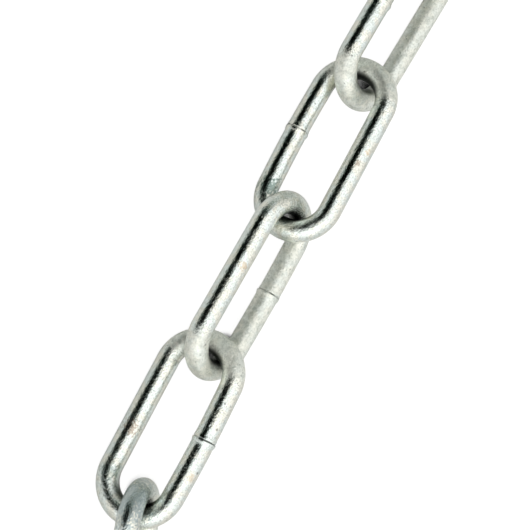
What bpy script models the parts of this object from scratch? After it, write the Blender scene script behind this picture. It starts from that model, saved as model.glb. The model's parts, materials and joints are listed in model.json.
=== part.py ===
"""One metre of long-link welded steel chain: 24 interlocked links of 6 mm wire, zinc finished.

The chain lies on the ground: its first part runs along +X, and from link 14 on it heads 22 degrees to the left.
The origin is on the ground under the middle of its box. Each link is one closed loop of round wire: two
straight legs joined by two half-round bends, with a butt weld halfway along one leg. Neighbouring links lean
to one side and the other in turn, and each one rests on its lower leg.
"""
import math

import bmesh
import bpy
from mathutils import Matrix, Vector

# The chain's size: 6 x 42 x 24 mm
WIRE = 0.006            # wire diameter, across the flats of its faceted section
INSIDE_LENGTH = 0.042   # inside a link, which is also the pitch of the chain when it is pulled tight
OUTSIDE_WIDTH = 0.024
LINK_COUNT = 24

# Facets: 14 sides put one flat on the inside of each bend and, at the links' lean, one flat on the ground
WIRE_SIDES = 14
BEND_STEPS = 7          # odd, so that a flat is centred on the crown of the bend
LEAN = math.pi / 2 - 2 * math.tau / WIRE_SIDES   # between a link's plane and the ground, 38.6 degrees

# How the links lie: odd links lean one way and even links the other, with a little play in each crossing
PLAY = 0.0003           # between the two wires of a crossing
TURNED_LINK = 14        # from here on the chain heads another way
TURNED_HEADING = math.radians(22)

# The links that lie unlike the rest: lean and heading in degrees, and the play before the link in metres
OWN_LIES = {
    10: (31.0, -2.0, 0.0013),
    11: (34.5, 1.0, 0.0017),
    12: (38.5, -0.5, 0.0006),
    13: (32.0, 1.5, 0.0010),
    14: (60.0, 22.0, 0.0012),
    15: (38.5, 22.0, 0.0012),
}

# The butt weld: a low ring of upset metal where the two ends of the wire meet
WELD_HALF_LENGTH = 0.0014
WELD_RISE = 0.0002      # above the wire's surface
WELD_BOW = 0.0003       # the welded leg stands out this far at the weld
WELD_ON_LOWER_LEG = (True, False, True)   # repeated along the chain

# Worked out from the sizes above
WIRE_RADIUS = WIRE / 2
BEND_RADIUS = OUTSIDE_WIDTH / 2 - WIRE_RADIUS             # of the wire's centre line
BEND_CENTRE = INSIDE_LENGTH / 2 + WIRE_RADIUS - BEND_RADIUS   # from the middle of the link
CROWN = INSIDE_LENGTH / 2 + WIRE_RADIUS   # of the wire's centre line, from the middle of the link


def make_zinc():
    """Bright zinc on steel: pale grey, half polished."""
    zinc = bpy.data.materials.new("zinc_plated_steel")
    zinc.use_nodes = True
    shader = zinc.node_tree.nodes["Principled BSDF"]
    shader.inputs["Base Color"].default_value = (0.62, 0.63, 0.61, 1.0)
    shader.inputs["Metallic"].default_value = 1.0
    shader.inputs["Roughness"].default_value = 0.3
    return zinc


def add_leg_ring(mesh, ring_edges, shift, swell):
    """Run the wire on from a ring of edges: move the new ring by shift and swell its section."""
    new_geometry = bmesh.ops.extrude_edge_only(mesh, edges=ring_edges)["geom"]
    new_verts = [item for item in new_geometry if isinstance(item, bmesh.types.BMVert)]
    bmesh.ops.translate(mesh, verts=new_verts, vec=shift)
    middle = sum((vert.co for vert in new_verts), Vector()) / len(new_verts)
    bmesh.ops.scale(mesh, verts=new_verts, vec=(1, swell, swell), space=Matrix.Translation(-middle))
    return edges_within(new_geometry, new_verts)


def add_bend(mesh, ring_edges, centre_x):
    """Turn the wire half a circle about the end of the leg, and stretch the bend to its full length."""
    before = set(mesh.verts)
    last_ring = bmesh.ops.spin(mesh, geom=ring_edges, cent=(centre_x, 0, 0), axis=(0, 0, 1),
                               angle=math.pi, steps=BEND_STEPS, use_duplicate=False)["geom_last"]
    bend_verts = [vert for vert in mesh.verts if vert not in before]
    crown_stretch = 1 / math.cos(math.pi / BEND_STEPS / 2)   # the crown's flat, not its edges, at full length
    bmesh.ops.scale(mesh, verts=bend_verts, vec=(crown_stretch, 1, 1),
                    space=Matrix.Translation((-centre_x, 0, 0)))
    return [item for item in last_ring if isinstance(item, bmesh.types.BMEdge)]


def edges_within(geometry, verts):
    """The edges of an extruded ring that join its own new vertices."""
    ring = set(verts)
    edges = [item for item in geometry if isinstance(item, bmesh.types.BMEdge)]
    return [edge for edge in edges if edge.verts[0] in ring and edge.verts[1] in ring]


def make_link_mesh():
    """One link about its own middle, lying in XY, with the weld on its +Y leg."""
    mesh = bmesh.new()
    corner_radius = WIRE_RADIUS / math.cos(math.pi / WIRE_SIDES)
    across_wire = Matrix(((0, 0, 1), (1, 0, 0), (0, 1, 0))).to_4x4()   # the circle's plane turned to YZ
    start = Matrix.Translation((-BEND_CENTRE, -BEND_RADIUS, 0)) @ across_wire
    bmesh.ops.create_circle(mesh, segments=WIRE_SIDES, radius=corner_radius, matrix=start)

    # Plain leg, then the bend at +X
    ring = add_leg_ring(mesh, list(mesh.edges), (2 * BEND_CENTRE, 0, 0), 1.0)
    ring = add_bend(mesh, ring, BEND_CENTRE)

    # Welded leg: up to the weld, over its ring, and on to the other bend
    to_weld = BEND_CENTRE - WELD_HALF_LENGTH
    swell = 1 + WELD_RISE / WIRE_RADIUS
    ring = add_leg_ring(mesh, ring, (-to_weld, WELD_BOW, 0), 1.0)
    ring = add_leg_ring(mesh, ring, (-WELD_HALF_LENGTH, 0, 0), swell)
    ring = add_leg_ring(mesh, ring, (-WELD_HALF_LENGTH, 0, 0), 1 / swell)
    ring = add_leg_ring(mesh, ring, (-to_weld, -WELD_BOW, 0), 1.0)

    # The bend at -X closes the loop on the ring that it started from
    add_bend(mesh, ring, -BEND_CENTRE)
    bmesh.ops.remove_doubles(mesh, verts=mesh.verts, dist=WIRE / 1000)
    bmesh.ops.recalc_face_normals(mesh, faces=mesh.faces)

    data = bpy.data.meshes.new("link")
    mesh.to_mesh(data)
    mesh.free()
    data.shade_smooth()
    data.set_sharp_from_angle(angle=math.radians(40))
    return data


def lie_of(number):
    """Lean, heading and the play before a link, in radians and metres."""
    if number in OWN_LIES:
        lean, heading, play = OWN_LIES[number]
        return math.radians(lean), math.radians(heading), play
    heading = TURNED_HEADING if number > TURNED_LINK else 0.0
    return LEAN, heading, PLAY


def add_link(number, link_mesh, lean, heading, hooked_at):
    """Lean link number on its lower leg, with the crown of its first bend at hooked_at on the ground plan."""
    link = bpy.data.objects.new(f"link_{number:02d}", link_mesh)
    bpy.context.collection.objects.link(link)
    welded_leg_is_low = number % 2 == 0
    roll = -lean if number % 2 == 0 else lean
    if WELD_ON_LOWER_LEG[number % len(WELD_ON_LOWER_LEG)] != welded_leg_is_low:
        roll += math.pi
    rolled = Matrix.Rotation(roll, 3, "X")
    height = -min((rolled @ vert.co).z for vert in link_mesh.vertices)
    direction = Vector((math.cos(heading), math.sin(heading), 0))
    link.rotation_euler = (roll, 0, heading)
    link.location = hooked_at + CROWN * direction + Vector((0, 0, height))
    return link


def centre_over_origin(links):
    """Shift the chain along the ground until its box is centred on the origin."""
    bpy.context.view_layer.update()
    corners = [link.matrix_world @ vert.co for link in links for vert in link.data.vertices]
    low = Vector(min(corner[axis] for corner in corners) for axis in range(3))
    high = Vector(max(corner[axis] for corner in corners) for axis in range(3))
    middle = (low + high) / 2
    for link in links:
        link.location -= Vector((middle.x, middle.y, 0))


def build_chain():
    for old in list(bpy.data.objects):
        bpy.data.objects.remove(old, do_unlink=True)
    link_mesh = make_link_mesh()
    link_mesh.materials.append(make_zinc())

    links = []
    hooked_at = Vector()
    for number in range(1, LINK_COUNT + 1):
        lean, heading, _ = lie_of(number)
        links.append(add_link(number, link_mesh, lean, heading, hooked_at))

        # The next link's bend hooks behind this one's far bend
        next_play = lie_of(number + 1)[2]
        direction = Vector((math.cos(heading), math.sin(heading), 0))
        hooked_at = hooked_at + (2 * CROWN - WIRE - next_play) * direction
    centre_over_origin(links)


build_chain()
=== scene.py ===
"""Looks of one metre of long-link welded steel chain, lying on a pale floor and seen from close above."""
import json
import math

import bmesh
import bpy
from mathutils import Matrix, Vector


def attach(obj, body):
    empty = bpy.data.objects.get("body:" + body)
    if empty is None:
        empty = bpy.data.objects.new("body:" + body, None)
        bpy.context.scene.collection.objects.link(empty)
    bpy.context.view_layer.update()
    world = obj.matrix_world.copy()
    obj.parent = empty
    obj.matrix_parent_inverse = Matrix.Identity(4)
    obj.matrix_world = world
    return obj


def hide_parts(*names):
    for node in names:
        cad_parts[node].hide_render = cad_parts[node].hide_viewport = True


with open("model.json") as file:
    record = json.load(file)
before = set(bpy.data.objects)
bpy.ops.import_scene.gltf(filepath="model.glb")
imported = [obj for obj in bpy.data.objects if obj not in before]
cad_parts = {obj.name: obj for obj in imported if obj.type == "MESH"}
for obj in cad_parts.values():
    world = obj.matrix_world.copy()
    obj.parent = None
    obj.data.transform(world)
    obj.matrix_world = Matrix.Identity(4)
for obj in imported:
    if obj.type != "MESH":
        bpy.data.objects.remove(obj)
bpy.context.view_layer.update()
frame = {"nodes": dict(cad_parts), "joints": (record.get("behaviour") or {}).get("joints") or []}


# The wire of one link: 6 mm round steel, cut off, bent round two pins into a loop, and butt welded near the
# middle of one leg. The weld pushes up a low lip on one side of a fine seam and less on the other, and the two
# ends that meet there are never quite in line.
WIRE_RADIUS = 0.003
BEND_RADIUS = 0.009       # of the wire's centre line
BEND_CENTRE = 0.015       # from the middle of the link
CROWN = BEND_CENTRE + BEND_RADIUS
WIRE_SIDES = 48
BEND_STEPS = 36
LEG_STEPS = 26
LEG_BOW = 0.0003          # the welded leg stands out this far at its middle
LIP_REACH = 0.0013        # from the seam to where the wire has its own size again
LIP_STEPS = 5
HIGH_LIP = 0.00026
LOW_LIP = 0.00010
SEAM_HALF_WIDTH = 0.00012
SEAM_DEPTH = 0.00011


def run_wire(mesh, ring, stride, swell=1.0):
    """Extrude the wire's open end along X, and swell the new ring about its own middle."""
    geometry = bmesh.ops.extrude_edge_only(mesh, edges=ring)["geom"]
    verts = [item for item in geometry if isinstance(item, bmesh.types.BMVert)]
    bmesh.ops.translate(mesh, verts=verts, vec=(stride, 0, 0))
    middle = sum((vert.co for vert in verts), Vector()) / len(verts)
    bmesh.ops.scale(mesh, verts=verts, vec=(1, swell, swell), space=Matrix.Translation(-middle))
    new = set(verts)
    edges = [item for item in geometry if isinstance(item, bmesh.types.BMEdge)]
    return [edge for edge in edges if edge.verts[0] in new and edge.verts[1] in new]


def bend_wire(mesh, ring, centre_x):
    """Bend the wire half a circle round a pin at centre_x."""
    last = bmesh.ops.spin(mesh, geom=ring, cent=(centre_x, 0, 0), axis=(0, 0, 1), angle=math.pi,
                          steps=BEND_STEPS, use_duplicate=False)["geom_last"]
    return [item for item in last if isinstance(item, bmesh.types.BMEdge)]


def run_to_seam(mesh, ring, seam_x):
    """The welded leg from its +X bend, over the high lip and down into the seam."""
    plain_steps = LEG_STEPS // 2
    for step in range(plain_steps):
        ring = run_wire(mesh, ring, -(BEND_CENTRE - seam_x - LIP_REACH) / plain_steps)
    radius = WIRE_RADIUS
    for step in range(1, LIP_STEPS + 1):
        risen = WIRE_RADIUS + HIGH_LIP * math.sin(math.pi / 2 * step / LIP_STEPS)
        ring = run_wire(mesh, ring, -(LIP_REACH - SEAM_HALF_WIDTH) / LIP_STEPS, risen / radius)
        radius = risen
    return run_wire(mesh, ring, -SEAM_HALF_WIDTH, (WIRE_RADIUS - SEAM_DEPTH) / radius)


def run_from_seam(mesh, ring, seam_x):
    """The rest of the welded leg: out of the seam, down over the low lip and on to the other bend."""
    radius = WIRE_RADIUS + LOW_LIP
    ring = run_wire(mesh, ring, -SEAM_HALF_WIDTH, radius / (WIRE_RADIUS - SEAM_DEPTH))
    for step in range(1, LIP_STEPS + 1):
        fallen = WIRE_RADIUS + LOW_LIP * math.cos(math.pi / 2 * step / LIP_STEPS)
        ring = run_wire(mesh, ring, -(LIP_REACH - SEAM_HALF_WIDTH) / LIP_STEPS, fallen / radius)
        radius = fallen
    plain_steps = LEG_STEPS // 2
    for step in range(plain_steps):
        ring = run_wire(mesh, ring, -(BEND_CENTRE + seam_x - LIP_REACH) / plain_steps)
    return ring


def set_ends_off(mesh, seam_x, misfit):
    """Bow the welded leg outwards, and lift one of its two ends a little at the seam."""
    for vert in mesh.verts:
        if vert.co.y < 0 or abs(vert.co.x) > BEND_CENTRE:
            continue
        vert.co.y += LEG_BOW * math.cos(vert.co.x / BEND_CENTRE * math.pi / 2)
        beyond_seam = seam_x - vert.co.x
        if beyond_seam > SEAM_HALF_WIDTH / 2:
            vert.co.z += misfit * (1 - beyond_seam / (BEND_CENTRE + seam_x))


def wire_place(point):
    """Where a point of the link is on its wire, in millimetres: along it from the welded leg's middle, out, up."""
    side = 1 if point.y > 0 else -1
    end = 1 if point.x > 0 else -1
    leg = 2 * BEND_CENTRE
    bend = math.pi * BEND_RADIUS
    if abs(point.x) <= BEND_CENTRE:
        out = side * point.y - BEND_RADIUS
        along = point.x if side > 0 else leg + bend - point.x
    else:
        arm = Vector((point.x - end * BEND_CENTRE, point.y))
        out = arm.length - BEND_RADIUS
        turn = math.atan2(arm.x, arm.y) * BEND_RADIUS
        along = BEND_CENTRE + turn if end > 0 else turn - BEND_CENTRE
    return Vector((along, out, point.z)) * 1000


def seam_distance(point, seam_x):
    """How far a point of the link is from the seam along the wire, in millimetres, or 10 beyond the welded leg."""
    if point.y < 0 or abs(point.x) > BEND_CENTRE:
        return 10.0
    return abs(point.x - seam_x) * 1000


def dulled_at(point, dulled):
    """How dull the zinc is at a point of the link: at its first bend, its far bend, its welded or its plain leg."""
    first_bend, far_bend, welded_leg, plain_leg = dulled
    leg = welded_leg if point.y > 0 else plain_leg
    bend = far_bend if point.x > 0 else first_bend
    into_bend = (abs(point.x) - BEND_CENTRE + 0.001) / 0.006
    into_bend = min(max(into_bend, 0.0), 1.0)
    return leg + (bend - leg) * into_bend * into_bend * (3 - 2 * into_bend)


def bend_link(seam_x, misfit, dulled):
    """One closed link about its own middle, lying in XY, with the weld on its +Y leg."""
    mesh = bmesh.new()
    across_wire = Matrix(((0, 0, 1), (1, 0, 0), (0, 1, 0))).to_4x4()
    start = Matrix.Translation((-BEND_CENTRE, -BEND_RADIUS, 0)) @ across_wire
    bmesh.ops.create_circle(mesh, segments=WIRE_SIDES, radius=WIRE_RADIUS, matrix=start)
    ring = list(mesh.edges)
    for step in range(LEG_STEPS):
        ring = run_wire(mesh, ring, 2 * BEND_CENTRE / LEG_STEPS)
    ring = bend_wire(mesh, ring, BEND_CENTRE)
    ring = run_to_seam(mesh, ring, seam_x)
    ring = run_from_seam(mesh, ring, seam_x)
    bend_wire(mesh, ring, -BEND_CENTRE)
    bmesh.ops.remove_doubles(mesh, verts=mesh.verts, dist=WIRE_RADIUS / 1000)
    on_wire = mesh.verts.layers.float_vector.new("on_wire")
    from_seam = mesh.verts.layers.float.new("from_seam")
    dullness = mesh.verts.layers.float.new("dulled")
    for vert in mesh.verts:
        vert[on_wire] = wire_place(vert.co)
        vert[from_seam] = seam_distance(vert.co, seam_x)
        vert[dullness] = dulled_at(vert.co, dulled)
    set_ends_off(mesh, seam_x, misfit)
    bmesh.ops.recalc_face_normals(mesh, faces=mesh.faces)
    for face in mesh.faces:
        face.smooth = True
    return mesh


# The finish: bright zinc plated over the drawn wire. It is satin and finely grained on the legs and duller on the
# bends, where the plating has crazed and weathered, with fine dark specks, small pits, a few rust stains, grime in
# the seam of the weld, painted shade over grime where two links rub, and a few patches of painted reflection and
# shade.
ZINC_COOL = (0.80, 0.86, 0.83, 1.0)
ZINC_WARM = (0.87, 0.86, 0.77, 1.0)
ZINC_DULL = (0.92, 0.93, 0.84, 1.0)
MOTTLE = (0.36, 0.40, 0.34, 1.0)
# Near black: grime in the seam, specks and pits, and painted shade inside the bends
GRIME_AND_SHADE = (0.020, 0.026, 0.019, 1.0)
TAN = (0.62, 0.42, 0.22, 1.0)
RUST = (0.20, 0.09, 0.03, 1.0)
# Painted dark reflection, high on one link
DARK_BLUE_REFLECTION = (0.30, 0.38, 0.40, 1.0)
# Painted shade and reflection, low in two crossings
TEAL_SHADE_AND_REFLECTION = (0.12, 0.20, 0.17, 1.0)
IN_MILLIMETRES = (1000.0, 1000.0, 1000.0)


def add_node(tree, kind, sockets=None, **settings):
    """Add a shader node with its settings. A socket's value is a plain value or the socket that feeds it."""
    node = tree.nodes.new(kind)
    for setting, value in settings.items():
        setattr(node, setting, value)
    for socket, value in (sockets or {}).items():
        if isinstance(value, bpy.types.NodeSocket):
            tree.links.new(value, node.inputs[socket])
        else:
            node.inputs[socket].default_value = value
    return node


def calculate(tree, operation, first, second=0.0, third=0.0):
    """One Math node."""
    return add_node(tree, "ShaderNodeMath", {0: first, 1: second, 2: third}, operation=operation).outputs[0]


def spread_over(tree, value, low, high, to_low=0.0, to_high=1.0):
    """Turn a value from low to high smoothly into one from to_low to to_high."""
    return add_node(tree, "ShaderNodeMapRange",
                    {"Value": value, "From Min": low, "From Max": high, "To Min": to_low, "To Max": to_high},
                    interpolation_type="SMOOTHSTEP").outputs["Result"]


def paint_over(tree, under, over, share):
    """Mix a colour over another."""
    mixed = add_node(tree, "ShaderNodeMix", data_type="RGBA")
    for socket, value in ((mixed.inputs[0], share), (mixed.inputs[6], under), (mixed.inputs[7], over)):
        if isinstance(value, bpy.types.NodeSocket):
            tree.links.new(value, socket)
        else:
            socket.default_value = value
    return mixed.outputs[2]


def add_group(name, inputs, outputs):
    """An empty node group with its sockets, and its two end nodes."""
    group = bpy.data.node_groups.new(name, "ShaderNodeTree")
    for socket, kind in inputs.items():
        group.interface.new_socket(name=socket, in_out="INPUT", socket_type=kind)
    for socket, kind in outputs.items():
        group.interface.new_socket(name=socket, in_out="OUTPUT", socket_type=kind)
    return group, group.nodes.new("NodeGroupInput").outputs, group.nodes.new("NodeGroupOutput").inputs


# Patches: soft clouds or hard specks of a given size, from 0 outside them to 1 inside
patches, given, made = add_group(
    "patches", {"Place": "NodeSocketVector", "Per mm": "NodeSocketFloat", "Detail": "NodeSocketFloat",
                "From": "NodeSocketFloat", "To": "NodeSocketFloat"}, {"Mask": "NodeSocketFloat"})
noise = add_node(patches, "ShaderNodeTexNoise",
                 {"Vector": given["Place"], "Scale": given["Per mm"], "Detail": given["Detail"]})
patches.links.new(spread_over(patches, noise.outputs["Fac"], given["From"], given["To"]), made["Mask"])

# Pits: small round holes scattered over the surface, 1 at their middle
pits, given, made = add_group(
    "pits", {"Place": "NodeSocketVector", "Per mm": "NodeSocketFloat", "Share": "NodeSocketFloat"},
    {"Mask": "NodeSocketFloat"})
cells = add_node(pits, "ShaderNodeTexVoronoi", {"Vector": given["Place"], "Scale": given["Per mm"]})
hollow = spread_over(pits, cells.outputs["Distance"], 0.28, 0.08)
chance = add_node(pits, "ShaderNodeSeparateColor", {"Color": cells.outputs["Color"]}).outputs["Red"]
picked = calculate(pits, "LESS_THAN", chance, given["Share"])
pits.links.new(calculate(pits, "MULTIPLY", hollow, picked), made["Mask"])

# Blotch: one patch with a ragged edge about a given point, 1 at its middle; for stains and for painted reflection
# and shade
blotch, given, made = add_group(
    "blotch", {"Place": "NodeSocketVector", "Middle": "NodeSocketVector", "Radius": "NodeSocketFloat"},
    {"Mask": "NodeSocketFloat"})
apart = add_node(blotch, "ShaderNodeVectorMath", {0: given["Place"], 1: given["Middle"]},
                 operation="DISTANCE").outputs["Value"]
ragged = add_node(blotch, "ShaderNodeTexNoise", {"Vector": given["Place"], "Scale": 1.8, "Detail": 3.0})
reach = calculate(blotch, "DIVIDE", apart, given["Radius"])
reach = calculate(blotch, "MULTIPLY_ADD", ragged.outputs["Fac"], 2.4, reach)
blotch.links.new(spread_over(blotch, reach, 2.0, 1.5), made["Mask"])


def patch_mask(tree, place, per_mm, low, high, detail=2.0):
    node = add_node(tree, "ShaderNodeGroup", node_tree=patches)
    tree.links.new(place, node.inputs["Place"])
    for socket, value in (("Per mm", per_mm), ("From", low), ("To", high), ("Detail", detail)):
        node.inputs[socket].default_value = value
    return node.outputs["Mask"]


def pit_mask(tree, place, per_mm, share):
    node = add_node(tree, "ShaderNodeGroup", node_tree=pits)
    tree.links.new(place, node.inputs["Place"])
    node.inputs["Per mm"].default_value = per_mm
    node.inputs["Share"].default_value = share
    return node.outputs["Mask"]


def blotch_mask(tree, place, middle, radius):
    node = add_node(tree, "ShaderNodeGroup", node_tree=blotch)
    tree.links.new(place, node.inputs["Place"])
    node.inputs["Middle"].default_value = middle
    node.inputs["Radius"].default_value = radius
    return node.outputs["Mask"]


zinc = bpy.data.materials.new("zinc_plating")
zinc.use_nodes = True
tree = zinc.node_tree
zinc_shader = tree.nodes["Principled BSDF"]
coordinates = add_node(tree, "ShaderNodeTexCoord")
here = add_node(tree, "ShaderNodeVectorMath", {0: coordinates.outputs["Object"], 1: IN_MILLIMETRES},
                operation="MULTIPLY").outputs[0]
on_wire = add_node(tree, "ShaderNodeAttribute", attribute_name="on_wire").outputs["Vector"]
wire_axes = add_node(tree, "ShaderNodeSeparateXYZ", {"Vector": on_wire}).outputs
drawn = add_node(tree, "ShaderNodeVectorMath", {0: on_wire, 1: (0.12, 1.0, 1.0)}, operation="MULTIPLY").outputs[0]

grain = add_node(tree, "ShaderNodeTexNoise",
                 {"Vector": here, "Scale": 2.0, "Detail": 3.0, "Roughness": 0.6}).outputs["Fac"]

# How dull it is: the legs' and bends' own dullness, broken up in clouds
dulled = add_node(tree, "ShaderNodeAttribute", attribute_name="dulled").outputs["Fac"]
cloudy = patch_mask(tree, here, 0.22, 0.40, 0.66, 3.0)
dull = calculate(tree, "MULTIPLY_ADD", cloudy, 0.22, calculate(tree, "SUBTRACT", dulled, 0.06))
dull = add_node(tree, "ShaderNodeClamp", {"Value": dull}).outputs["Result"]
rough = calculate(tree, "MULTIPLY_ADD", dull, 0.32, 0.08)
tree.links.new(rough, zinc_shader.inputs["Roughness"])
tree.links.new(spread_over(tree, dull, 0.45, 1.0, 1.0, 0.6), zinc_shader.inputs["Metallic"])

# Its colour: cool and warm zinc side by side, dull and mottled where it has weathered, with dark specks and pits
colour = paint_over(tree, ZINC_COOL, ZINC_WARM, patch_mask(tree, here, 0.35, 0.42, 0.60, 3.0))
colour = paint_over(tree, colour, ZINC_DULL, calculate(tree, "MULTIPLY", dull, 0.8))
mottled = patch_mask(tree, here, 0.8, 0.42, 0.70, 5.0)
mottled = calculate(tree, "MULTIPLY", mottled, calculate(tree, "MULTIPLY_ADD", dull, 0.30, 0.15))
colour = paint_over(tree, colour, MOTTLE, mottled)
colour = paint_over(tree, colour, MOTTLE, spread_over(tree, grain, 0.56, 0.36, 0.0, 0.35))
specked = calculate(tree, "MULTIPLY", patch_mask(tree, here, 2.2, 0.66, 0.74, 1.0),
                    patch_mask(tree, here, 0.3, 0.45, 0.60))
specked = calculate(tree, "MULTIPLY", specked, 0.6)
colour = paint_over(tree, colour, GRIME_AND_SHADE, specked)
pitted = pit_mask(tree, here, 0.6, 0.05)
colour = paint_over(tree, colour, GRIME_AND_SHADE, calculate(tree, "MULTIPLY", pitted, 0.55))

# Rust that comes through in a few places, and tan stains round it, and three patches of painted reflection and
# shade
# The blue-grey patch and the two teal patches below are painted reflection and shade; the rest are rust and tan
# stains
for paint_colour, middle, radius, share in (
        (TAN, (-48.7, -77.3, 16.4), 1.3, 0.45), (RUST, (-44.9, -78.4, 16.4), 1.2, 0.5),
        (TAN, (-6.6, -91.8, 17.5), 1.7, 0.45), (RUST, (41.5, -93.7, 5.7), 3.2, 0.5),
        (TAN, (45.1, -76.1, 15.5), 1.6, 0.35), (DARK_BLUE_REFLECTION, (55.5, -87.5, 18.5), 12.0, 0.7),
        (TEAL_SHADE_AND_REFLECTION, (-29.5, -93.0, 6.3), 5.0, 0.75), (TEAL_SHADE_AND_REFLECTION, (53.5, -93.1, 5.8), 4.0, 0.45)):
    blotched = calculate(tree, "MULTIPLY", blotch_mask(tree, here, middle, radius), share)
    colour = paint_over(tree, colour, paint_colour, blotched)

# Grime in the seam, and on the inside of the bends, where the next link rubs, grime with painted shade over it
LEG_TO_CROWN = 29.137     # from the middle of a leg along the wire, in millimetres
from_seam = add_node(tree, "ShaderNodeAttribute", attribute_name="from_seam").outputs["Fac"]
wander = add_node(tree, "ShaderNodeTexNoise", {"Vector": here, "Scale": 0.7, "Detail": 2.0}).outputs["Fac"]
from_seam = calculate(tree, "ADD", from_seam, calculate(tree, "ABSOLUTE", calculate(tree, "SUBTRACT", wander, 0.5)))
in_seam = calculate(tree, "MULTIPLY", spread_over(tree, from_seam, 0.36, 0.14),
                    calculate(tree, "MULTIPLY_ADD", patch_mask(tree, here, 0.3, 0.45, 0.60), 0.6, 0.3))
colour = paint_over(tree, colour, GRIME_AND_SHADE, in_seam)
# Painted shade: the inside of each bend near its crossing is painted almost black, over a little real grime
from_mid_leg = calculate(tree, "PINGPONG", wire_axes["X"], LEG_TO_CROWN)
rubbed_and_shaded = calculate(tree, "MULTIPLY", spread_over(tree, from_mid_leg, 16.0, 24.0),
                   spread_over(tree, wire_axes["Y"], -1.3, -2.7))
rubbed_and_shaded = calculate(tree, "MULTIPLY", rubbed_and_shaded, 0.97)
colour = paint_over(tree, colour, GRIME_AND_SHADE, rubbed_and_shaded)
tree.links.new(colour, zinc_shader.inputs["Base Color"])

# Its relief, in millimetres: slow waves, lines drawn along the wire, grain and pits
relief = calculate(tree, "MULTIPLY", add_node(
    tree, "ShaderNodeTexNoise", {"Vector": here, "Scale": 0.45, "Detail": 2.0}).outputs["Fac"], 0.10)
relief = calculate(tree, "MULTIPLY_ADD", add_node(
    tree, "ShaderNodeTexNoise", {"Vector": drawn, "Scale": 1.6, "Detail": 2.0}).outputs["Fac"], 0.02, relief)
relief = calculate(tree, "MULTIPLY_ADD", grain, calculate(tree, "MULTIPLY_ADD", dull, 0.13, 0.09), relief)
relief = calculate(tree, "MULTIPLY_ADD", pitted, -0.05, relief)
bump = add_node(tree, "ShaderNodeBump", {"Height": relief, "Strength": 1.0, "Distance": 0.001})
tree.links.new(bump.outputs["Normal"], zinc_shader.inputs["Normal"])


# The chain: 24 links, each hooked behind the one before it and dropped on the ground, so that odd links lean
# one way and even links the other. Along its middle the links lie looser than elsewhere, and from link 14 on
# the chain heads to the left.
LEAN = math.pi / 2 - 2 * math.tau / 14   # between a link's plane and the ground
PLAY = 0.0003                            # between the two wires of a crossing
TURNED_LINK = 14
TURNED_HEADING = math.radians(22)
OWN_LIES = {                             # lean and heading in degrees, and the play before the link
    10: (31.0, -2.0, 0.0013),
    11: (34.5, 1.0, 0.0017),
    12: (38.5, -0.5, 0.0006),
    13: (32.0, 1.5, 0.0010),
    14: (60.0, 22.0, 0.0012),
    15: (38.5, 22.0, 0.0012),
}
WELD_ON_LOWER_LEG = (True, False, True)  # repeated along the chain
SEAM_AT = (0.0004, -0.0014, -0.0016, -0.0010, 0.0008)        # from the leg's middle, repeated along the chain
ENDS_OFF = (0.00010, -0.00014, 0.00006, 0.00016, -0.00008)   # repeated along the chain
DULLED = (                               # first bend, far bend, upper and lower leg, repeated along the chain
    (0.60, 0.75, 0.00, 0.75),
    (0.80, 0.25, 0.00, 0.00),
    (0.30, 0.75, 0.05, 0.75),
    (0.85, 0.20, 0.00, 0.00),
    (0.30, 0.35, 0.10, 0.40),
)


def lie_of(number):
    """Lean, heading and the play before a link, in radians and metres."""
    if number in OWN_LIES:
        lean, heading, play = OWN_LIES[number]
        return math.radians(lean), math.radians(heading), play
    return LEAN, TURNED_HEADING if number > TURNED_LINK else 0.0, PLAY


def lay_link(mesh, number, lean, heading, hooked_at):
    """Lean a link on its lower leg on the ground, with the crown of its first bend at hooked_at."""
    welded_leg_is_low = number % 2 == 0
    roll = -lean if number % 2 == 0 else lean
    if WELD_ON_LOWER_LEG[number % len(WELD_ON_LOWER_LEG)] != welded_leg_is_low:
        roll += math.pi
    turned = Matrix.Rotation(heading, 4, "Z") @ Matrix.Rotation(roll, 4, "X")
    bmesh.ops.transform(mesh, matrix=turned, verts=mesh.verts)
    height = -min(vert.co.z for vert in mesh.verts)
    middle = hooked_at + CROWN * Vector((math.cos(heading), math.sin(heading), 0))
    bmesh.ops.translate(mesh, verts=mesh.verts, vec=(middle.x, middle.y, height))


hooked_at = Vector(frame["joints"][0]["pos_m"]) - Vector((2 * CROWN, 0, 0))
for number in range(1, len(frame["nodes"]) + 1):
    lean, heading, play = lie_of(number)
    first_bend, far_bend, upper_leg, lower_leg = DULLED[number % len(DULLED)]
    legs = (upper_leg, lower_leg)
    if WELD_ON_LOWER_LEG[number % len(WELD_ON_LOWER_LEG)]:
        legs = (lower_leg, upper_leg)
    seam_x = SEAM_AT[number % len(SEAM_AT)]
    link_mesh = bend_link(seam_x, ENDS_OFF[number % len(ENDS_OFF)], (first_bend, far_bend, *legs))
    lay_link(link_mesh, number, lean, heading, hooked_at)
    link_data = bpy.data.meshes.new(f"chain_link_{number:02d}")
    link_mesh.to_mesh(link_data)
    link_mesh.free()
    link_data.materials.append(zinc)
    chain_link = bpy.data.objects.new(f"chain_link_{number:02d}", link_data)
    bpy.context.collection.objects.link(chain_link)
    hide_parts(f"link_{number:02d}")
    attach(chain_link, f"link_{number:02d}")
    next_play = lie_of(number + 1)[2]
    direction = Vector((math.cos(heading), math.sin(heading), 0))
    hooked_at = hooked_at + (2 * CROWN - 2 * WIRE_RADIUS - next_play) * direction


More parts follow.
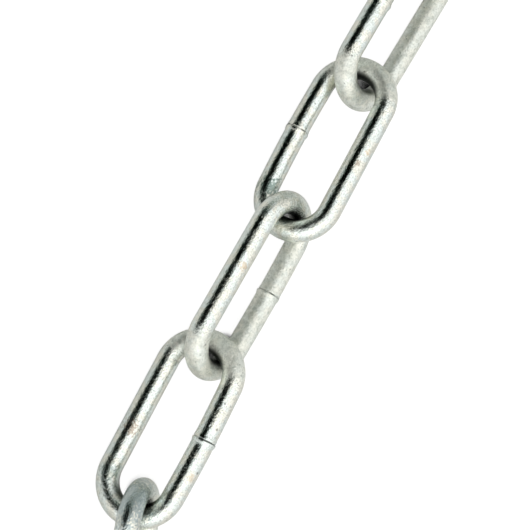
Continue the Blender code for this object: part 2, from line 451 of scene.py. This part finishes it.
# The floor: a plain pale studio table. It shows almost white, with painted shadow making it dark only deep in the
# gaps between the links.
floor_mesh = bmesh.new()
bmesh.ops.create_grid(floor_mesh, x_segments=1, y_segments=1, size=12.0)
floor_data = bpy.data.meshes.new("floor")
floor_mesh.to_mesh(floor_data)
floor_mesh.free()
floor_paint = bpy.data.materials.new("floor_paint")
floor_paint.use_nodes = True
paint = floor_paint.node_tree
floor_shader = paint.nodes["Principled BSDF"]
GAP_ASIDE = Vector((-0.0065, 0.0048, 0.0))   # the shaded spot under a crossing lies this far beside it
floor_shader.inputs["Base Color"].default_value = (0.8, 0.8, 0.79, 1.0)
floor_shader.inputs["Roughness"].default_value = 0.8
place = add_node(paint, "ShaderNodeTexCoord").outputs["Object"]
# Painted shadow: the floor's glow and matt colour go dark where it lies both near a spot beside a crossing and deep
# in ambient occlusion
from_gap = calculate(paint, "ADD", 1.0)
for joint in frame["joints"]:
    gap = Vector(joint["pos_m"]) * Vector((1, 1, 0)) + GAP_ASIDE
    apart = add_node(paint, "ShaderNodeVectorMath", {0: place, 1: gap}, operation="DISTANCE").outputs["Value"]
    from_gap = calculate(paint, "MINIMUM", from_gap, apart)
open_share = add_node(paint, "ShaderNodeAmbientOcclusion", {"Distance": 0.03}, samples=16).outputs["AO"]
glow = calculate(paint, "MAXIMUM", spread_over(paint, from_gap, 0.0040, 0.0060),
                 spread_over(paint, open_share, 0.28, 0.46))
glowing = add_node(paint, "ShaderNodeEmission", {"Color": (1.0, 1.0, 0.995, 1.0), "Strength": calculate(paint, "MULTIPLY", glow, 0.93)})
matt_colour = paint_over(paint, (0.02, 0.02, 0.02, 1.0), (0.2, 0.2, 0.198, 1.0), glow)
matt = add_node(paint, "ShaderNodeBsdfDiffuse", {"Color": matt_colour})
shown = add_node(paint, "ShaderNodeAddShader", {0: glowing.outputs[0], 1: matt.outputs[0]}).outputs[0]
seen = add_node(paint, "ShaderNodeLightPath").outputs["Is Camera Ray"]
floor_mix = add_node(paint, "ShaderNodeMixShader", {0: seen, 1: floor_shader.outputs["BSDF"], 2: shown})
paint.links.new(floor_mix.outputs[0], paint.nodes["Material Output"].inputs["Surface"])
floor_data.materials.append(floor_paint)
floor = bpy.data.objects.new("floor", floor_data)
bpy.context.collection.objects.link(floor)


# The light: a white dome, brightest overhead and dimmer towards the floor and on the far side, with a wide soft
# lamp in front and a dark card low on the near side. The card is what draws the near-black line along the wires.
DIM_SIDE = Vector((-0.94, -0.34, 0.0))
LAMP_TOWARDS = Vector((0.73, 0.19, 0.66)).normalized()
CARD_TOWARDS = Vector((-0.18, -0.81, 0.56)).normalized()
CARD_ACROSS = Vector((0.976, -0.217, 0.0)).normalized()
CARD_UP = CARD_ACROSS.cross(CARD_TOWARDS).normalized() * -1


def share_towards(tree, view, direction):
    """How much a direction of view points in a given direction, from -1 to 1."""
    return add_node(tree, "ShaderNodeVectorMath", {0: view, 1: direction},
                    operation="DOT_PRODUCT").outputs["Value"]


world = bpy.data.worlds.new("studio")
world.use_nodes = True
sky = world.node_tree
view = add_node(sky, "ShaderNodeTexCoord").outputs["Generated"]
height = add_node(sky, "ShaderNodeSeparateXYZ", {"Vector": view}).outputs["Z"]
level = calculate(sky, "MULTIPLY_ADD", height, 0.64, 0.76)
level = calculate(sky, "MULTIPLY", level,
                  spread_over(sky, share_towards(sky, view, DIM_SIDE), 0.1, 0.8, 1.0, 0.55))
level = calculate(sky, "ADD", level,
                  spread_over(sky, share_towards(sky, view, LAMP_TOWARDS), 0.78, 0.98, 0.0, 0.3))
to_card = share_towards(sky, view, CARD_TOWARDS)
level = calculate(sky, "MULTIPLY", level, spread_over(sky, to_card, 0.6, 0.95, 1.0, 0.5))
across = calculate(sky, "ABSOLUTE", share_towards(sky, view, CARD_ACROSS))
upwards = share_towards(sky, view, CARD_UP)
card = calculate(sky, "MULTIPLY", spread_over(sky, across, 0.50, 0.42),
                 calculate(sky, "MULTIPLY", spread_over(sky, upwards, 0.60, 0.42),
                           spread_over(sky, upwards, -0.48, -0.40)))
card = calculate(sky, "MULTIPLY", card, spread_over(sky, to_card, 0.2, 0.4))
level = calculate(sky, "MULTIPLY", level, calculate(sky, "MULTIPLY_ADD", card, -0.995, 1.0))
tint = paint_over(sky, (0.66, 1.0, 0.76, 1.0), (1.0, 1.0, 1.0, 1.0), spread_over(sky, level, 0.0, 0.7))
shining = add_node(sky, "ShaderNodeBackground", {"Color": tint, "Strength": level}).outputs[0]
backdrop = add_node(sky, "ShaderNodeBackground", {"Color": (0.84, 0.85, 0.85, 1.0), "Strength": 1.0}).outputs[0]
seen = add_node(sky, "ShaderNodeLightPath").outputs["Is Camera Ray"]
sky_mix = add_node(sky, "ShaderNodeMixShader", {0: seen, 1: shining, 2: backdrop}).outputs[0]
sky.links.new(sky_mix, sky.nodes["World Output"].inputs["Surface"])
bpy.context.scene.world = world
bpy.context.scene.view_settings.view_transform = "Standard"


# The camera: close above the middle of the chain, which runs from the upper right to the lower left.
camera_data = bpy.data.cameras.new("camera")
camera_data.lens = 87.2
camera_data.sensor_width = 36.0
camera_data.clip_start = 0.01
camera = bpy.data.objects.new("camera", camera_data)
camera.location = (0.04143, -0.17865, 0.32035)
camera.rotation_euler = [math.radians(angle) for angle in (-0.526, -19.092, 120.720)]
bpy.context.collection.objects.link(camera)
bpy.context.scene.camera = camera
